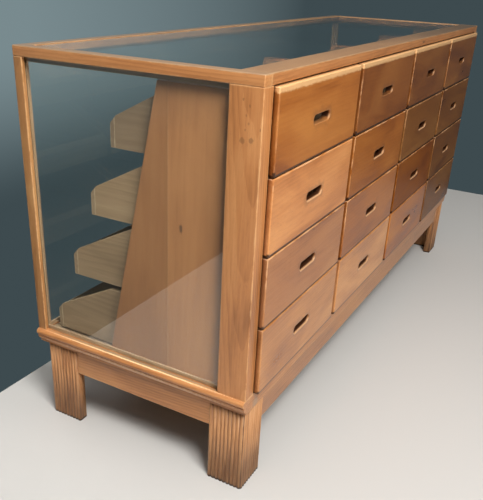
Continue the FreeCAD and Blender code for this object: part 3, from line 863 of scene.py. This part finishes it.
rowPitch = firstLow.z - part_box("drawer_front_r2c1")[0].z
frontsTop = firstHigh.z + drawerGaps["row"] / 2
frontBack = firstHigh.y
runnerSizes = dict(width=11 * mm, height=9 * mm)
runnerStart = max(frontBack, railStart) + seatGap
traySizes = dict(sideGap=1.5 * mm, lift=1.5 * mm, side=10 * mm, back=11 * mm, bottom=6 * mm, raised=3 * mm,
                 headroom=12 * mm, rearHeight=50 * mm, bevelSide=4 * mm, bevelRise=17 * mm, slope=150 * mm,
                 topRowTint=(0.72, 0.72, 0.75))


def partitionRear(z):
    share = (partitionTop - z) / (partitionTop - floorHigh.z)
    return partitionTopRear + share * (partitionFoot - partitionTopRear)


runners = []
for row in range(1, drawerCounts["rows"] + 1):
    rowFoot = frontsTop - row * rowPitch
    runnerTop = rowFoot + traySizes["lift"] - seatGap
    runnerFoot = floorHigh.z if row == drawerCounts["rows"] else runnerTop - runnerSizes["height"]
    for column in range(drawerCounts["columns"]):
        bay = firstBay + column * columnPitch
        for x0 in (bay, bay + bayWidth - runnerSizes["width"]):
            runners.append((block(x0, x0 + runnerSizes["width"], runnerStart,
                                  partitionRear(runnerTop), runnerFoot, runnerTop), "Y"))
piece("runners", runners, "inner", "cabinet", ["drawer_runners"], arris=arrisSizes["runner"])
print("partitions and runners made")

# Drawers
frontSizes = dict(round=3 * mm, corner=2 * mm, leastCorner=0.3 * mm, rim=1.6 * mm, crownGap=1.2 * mm,
                  arcSteps=10, cornerSteps=3, roundSteps=5)
# the fronts' tones are partly the wood's own and partly painted light: darker to the right, where the light
# falls off, and paler on the lower rows, where the floor's reflection lies
frontToneAndLight = dict(     # red, green, blue and polish
    blond=(1.4, 1.5, 1.7, 0.8), straw=(1.15, 1.35, 1.7, 1.0), ashen=(0.85, 0.9, 1.1, 0.9),
    honey=(0.85, 0.75, 0.5, 0.7), amber=(0.75, 0.65, 0.4, 0.3), chestnut=(0.5, 0.45, 0.35, 0.6),
    russet=(0.5, 0.4, 0.2, 0.1), umber=(0.4, 0.4, 0.35, 0.2))
frontToneAndLightByRow = (     # the tone of each front, row by row from the top
    ("honey", "chestnut", "chestnut", "chestnut"), ("blond", "amber", "umber", "umber"),
    ("ashen", "honey", "russet", "umber"), ("straw", "straw", "honey", "umber"))


def roundedRectangle(x0, x1, z0, z1, radius, steps):
    # anticlockwise from the lower right corner, seen from the front
    loop = []
    for cx, cz, start in ((x1 - radius, z0 + radius, -90), (x1 - radius, z1 - radius, 0),
                          (x0 + radius, z1 - radius, 90), (x0 + radius, z0 + radius, 180)):
        for i in range(steps + 1):
            angle = math.radians(start + 90 * i / steps)
            loop.append((cx + radius * math.cos(angle), cz + radius * math.sin(angle)))
    return loop


def slotLoop(cx, cz, straight, radius, steps):
    loop = []
    for side, start in ((1, -90), (-1, 90)):
        for i in range(2 * steps + 1):
            angle = math.radians(start + 90 * i / steps)
            loop.append((cx + side * straight + radius * math.cos(angle), cz + radius * math.sin(angle)))
    return loop


def drawerFront(low, high, crown):
    # a slab with softened face edges and a finger slot right through it
    build = bmesh.new()
    s = frontSizes
    cx, cz = (low.x + high.x) / 2, (low.z + high.z) / 2
    straight = (slotSizes["length"] - slotSizes["height"]) / 2
    radius = slotSizes["height"] / 2

    def ring(loop, y):
        return [build.verts.new((x, y, z)) for x, z in loop]

    def bridge(a, b):
        for i in range(len(a)):
            j = (i + 1) % len(a)
            build.faces.new((a[i], a[j], b[j], b[i]))

    def outer(inset, y):
        radius = max(s["corner"] - inset, s["leastCorner"])
        return ring(roundedRectangle(low.x + inset, high.x - inset, low.z + inset, crown - inset,
                                     radius, s["cornerSteps"]), y)

    def inner(grow, y):
        return ring(slotLoop(cx, cz, straight, radius + grow, s["arcSteps"]), y)

    def quarter(i):
        angle = math.pi / 2 * i / s["roundSteps"]
        return 1 - math.sin(angle), 1 - math.cos(angle)

    outers, inners = [], []
    for i in range(s["roundSteps"] + 1):
        across, deep = quarter(i)
        outers.append(outer(s["round"] * across, low.y + s["round"] * deep))
        inners.append(inner(s["rim"] * across, low.y + s["rim"] * deep))
    outers.append(outer(0.0, high.y))
    for i in range(s["roundSteps"], -1, -1):
        across, deep = quarter(i)
        inners.append(inner(s["rim"] * across, high.y - s["rim"] * deep))
    for rows in (outers, inners):
        for a, b in zip(rows, rows[1:]):
            bridge(a, b)
    n, corner = s["arcSteps"], s["cornerSteps"] + 1
    for rect, slot in ((outers[0], inners[0]), (outers[-1], inners[-1])):
        lowerRight, upperRight, upperLeft, lowerLeft = [rect[i * corner:(i + 1) * corner] for i in range(4)]
        rightArc, leftArc = slot[:2 * n + 1], slot[2 * n + 1:]
        build.faces.new(upperRight + upperLeft + leftArc[n::-1] + rightArc[:n - 1:-1])
        build.faces.new(lowerLeft + lowerRight + rightArc[n::-1] + leftArc[:n - 1:-1])
        build.faces.new((lowerRight[-1], upperRight[0], rightArc[n]))
        build.faces.new((upperLeft[-1], lowerLeft[0], leftArc[n]))
    bmesh.ops.recalc_face_normals(build, faces=build.faces)
    return build


def drawerTray(x0, rowFoot, end):
    t = traySizes
    x1 = x0 + bayWidth - t["sideGap"]
    x0 = x0 + t["sideGap"]
    z0 = rowFoot + t["lift"]
    trayHeight = rowPitch - t["lift"] - t["headroom"]
    backFace = end - t["back"]
    run = t["back"] + t["bevelSide"]
    backTop = t["rearHeight"] + t["back"] * t["bevelRise"] / run
    profile = [(frontBack, z0), (backFace, z0), (backFace, z0 + backTop),
               (end - run, z0 + t["rearHeight"] + t["bevelRise"]),
               (end - run - t["slope"], z0 + trayHeight), (frontBack, z0 + trayHeight)]
    backProfile = [(backFace, z0), (end, z0), (end, z0 + t["rearHeight"]), (backFace, z0 + backTop)]
    return [(prism(profile, "X", x0, x0 + t["side"]), "Y"), (prism(profile, "X", x1 - t["side"], x1), "Y"),
            (prism(backProfile, "X", x0, x1), "X"),
            (block(x0 + t["side"], x1 - t["side"], frontBack, backFace, z0 + t["raised"],
                   z0 + t["raised"] + t["bottom"]), "X")]


for row in range(1, drawerCounts["rows"] + 1):
    trayTint = traySizes["topRowTint"] if row == 1 else plainTint
    for column in range(1, drawerCounts["columns"] + 1):
        tag = "r" + str(row) + "c" + str(column)
        body = "drawer_" + tag
        low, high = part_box("drawer_front_" + tag)
        crown = high.z if row > 1 else topUnder - frontSizes["crownGap"]
        made = piece("front." + tag, [(drawerFront(low, high, crown), "X")], "front", body,
                     ["drawer_front_" + tag], arris=0,
                     tints=[frontToneAndLight[frontToneAndLightByRow[row - 1][column - 1]]],
                     spots="frontMarks" if row > 1 else "crownHighlight")
        weighted = made.modifiers.new("flat faces", "WEIGHTED_NORMAL")
        weighted.keep_sharp = True
        low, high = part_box("drawer_tray_" + tag)
        tray = drawerTray(firstBay + (column - 1) * columnPitch, frontsTop - row * rowPitch, high.y)
        piece("tray." + tag, tray, "tray", body, ["drawer_tray_" + tag],
              arris=arrisSizes["tray"], tints=[trayTint] * len(tray))
print("drawers made")

# Floor, light and camera
stageSizes = dict(radius=9.0, drop=0.2 * mm, fadeFrom=3.4, fadeTo=6.5, reach=8.0, wallX=1.85, wallGap=0.16,
                  wallHeight=4.5, pale=(0.60, 0.592, 0.574), wallTone=(0.048, 0.070, 0.078),
                  wallGlow=(0.19, 0.255, 0.272))
worldStrength = 0.34
lamps = {
    "window": dict(place=(-1.98, -1.8, 3.0), target=(-0.6, -0.2, 0.4), size=(1.1, 0.9), power=136,
                   colour=(1.0, 0.98, 0.95)),
    "ceiling": dict(place=(-1.3, -0.4, 2.8), target=(-0.8, -0.2, 0.4), size=(1.2, 1.0), power=10,
                    colour=(1.0, 0.99, 0.97)),
    "rear": dict(place=(-0.4, 2.6, 2.8), target=(0.0, 0.2, 0.8), size=(2.0, 1.4), power=8,
                 colour=(0.95, 0.98, 1.0)),
}
view = dict(place=(-1.9412, -0.7927, 1.0695), turn=-61.35, dip=25.94, roll=2.49, lens=47.38,
            shift=(0.0304, 0.0808), reach=60.0)


def makeFloor():
    mesh = bpy.data.meshes.new("studioFloor")
    build = bmesh.new()
    bmesh.ops.create_circle(build, cap_ends=True, segments=96, radius=stageSizes["radius"])
    build.to_mesh(mesh)
    build.free()
    floor = placed("studioFloor", mesh)
    floor.location.z = -stageSizes["drop"]
    material, tree, point = newMaterial("pale floor")
    far = ranged(tree, vectorCalc(tree, "LENGTH", point), stageSizes["fadeFrom"], stageSizes["fadeTo"])
    matt = put(tree, "ShaderNodeBsdfDiffuse", {"Color": (*stageSizes["pale"], 1)})
    glow = put(tree, "ShaderNodeEmission", {"Color": slate, "Strength": 1.0})
    surface(tree, put(tree, "ShaderNodeMixShader", {0: far, 1: matt.outputs[0], 2: glow.outputs[0]}))
    mesh.materials.append(material)


def makeWall(name, start, end):
    # a wall of a dim room, paler high up and to the left; it is seen from its front only
    height = stageSizes["wallHeight"]
    mesh = bpy.data.meshes.new(name)
    mesh.from_pydata([(*start, 0), (*end, 0), (*end, height), (*start, height)], [], [(0, 1, 2, 3)])
    wall = placed(name, mesh)
    wall.visible_diffuse = wall.visible_shadow = False
    material, tree, point = newMaterial(name)
    along = put(tree, "ShaderNodeSeparateXYZ", {0: point}).outputs["X"]
    lit = times(tree, ranged(tree, upright(tree, point), 0.5, 0.9),
                ranged(tree, along, -0.7, 0.96, 1.0, 0.0, False))
    colour = blend(tree, lit, (*stageSizes["wallTone"], 1), (*stageSizes["wallGlow"], 1))
    paint = put(tree, "ShaderNodeEmission", {"Color": colour, "Strength": 1.0})
    clear = put(tree, "ShaderNodeBsdfTransparent")
    behind = put(tree, "ShaderNodeNewGeometry").outputs["Backfacing"]
    surface(tree, put(tree, "ShaderNodeMixShader", {0: behind, 1: paint.outputs[0], 2: clear.outputs[0]}))
    mesh.materials.append(material)


def makeWorld(strength):
    # soft light from above, weaker near the horizon
    world = bpy.data.worlds.new("studio")
    bpy.context.scene.world = world
    world.use_nodes = True
    tree = world.node_tree
    tree.nodes.clear()
    path = put(tree, "ShaderNodeLightPath")
    seen = calc(tree, "MAXIMUM", path.outputs["Is Camera Ray"],
                calc(tree, "MAXIMUM", path.outputs["Is Glossy Ray"], path.outputs["Is Transmission Ray"]))
    rise = upright(tree, put(tree, "ShaderNodeTexCoord").outputs["Generated"])
    level = ranged(tree, rise, 0.30, 0.80, 0.04 * strength, strength)
    soft = put(tree, "ShaderNodeBackground", {"Color": (1.0, 0.985, 0.96, 1), "Strength": level})
    room = put(tree, "ShaderNodeBackground", {"Color": slate, "Strength": 1.0})
    mixed = put(tree, "ShaderNodeMixShader", {0: seen, 1: soft.outputs[0], 2: room.outputs[0]})
    put(tree, "ShaderNodeOutputWorld", {"Surface": mixed.outputs[0]})


def makeLamp(name, place, target, size, power, colour):
    data = bpy.data.lights.new(name, "AREA")
    data.shape, data.size, data.size_y = "RECTANGLE", size[0], size[1]
    data.energy, data.color = power, colour
    lamp = placed(name, data)
    lamp.location = place
    lamp.rotation_euler = (Vector(target) - Vector(place)).to_track_quat("-Z", "Y").to_euler()
    lamp.visible_camera = False
    lamp.visible_transmission = False


def makeCamera():
    data = bpy.data.cameras.new("camera")
    data.sensor_fit, data.sensor_height = "VERTICAL", 36.0
    data.lens = view["lens"]
    data.shift_x, data.shift_y = view["shift"]
    data.clip_end = view["reach"]
    camera = placed("camera", data)
    camera.matrix_world = (Matrix.Translation(view["place"]) @
                           Matrix.Rotation(math.radians(view["turn"]), 4, "Z") @
                           Matrix.Rotation(math.radians(90 - view["dip"]), 4, "X") @
                           Matrix.Rotation(math.radians(view["roll"]), 4, "Z"))
    bpy.context.scene.camera = camera


makeFloor()
wallY, wallX = rear + stageSizes["wallGap"], stageSizes["wallX"]
wallEnd = -stageSizes["reach"]
makeWall("backWall", (wallEnd, wallY), (wallX, wallY))
makeWall("rightWall", (wallX, wallY), (wallX, wallEnd))
makeWorld(worldStrength)
for name, lamp in lamps.items():
    makeLamp(name, **lamp)
makeCamera()
print("floor, light and camera made")
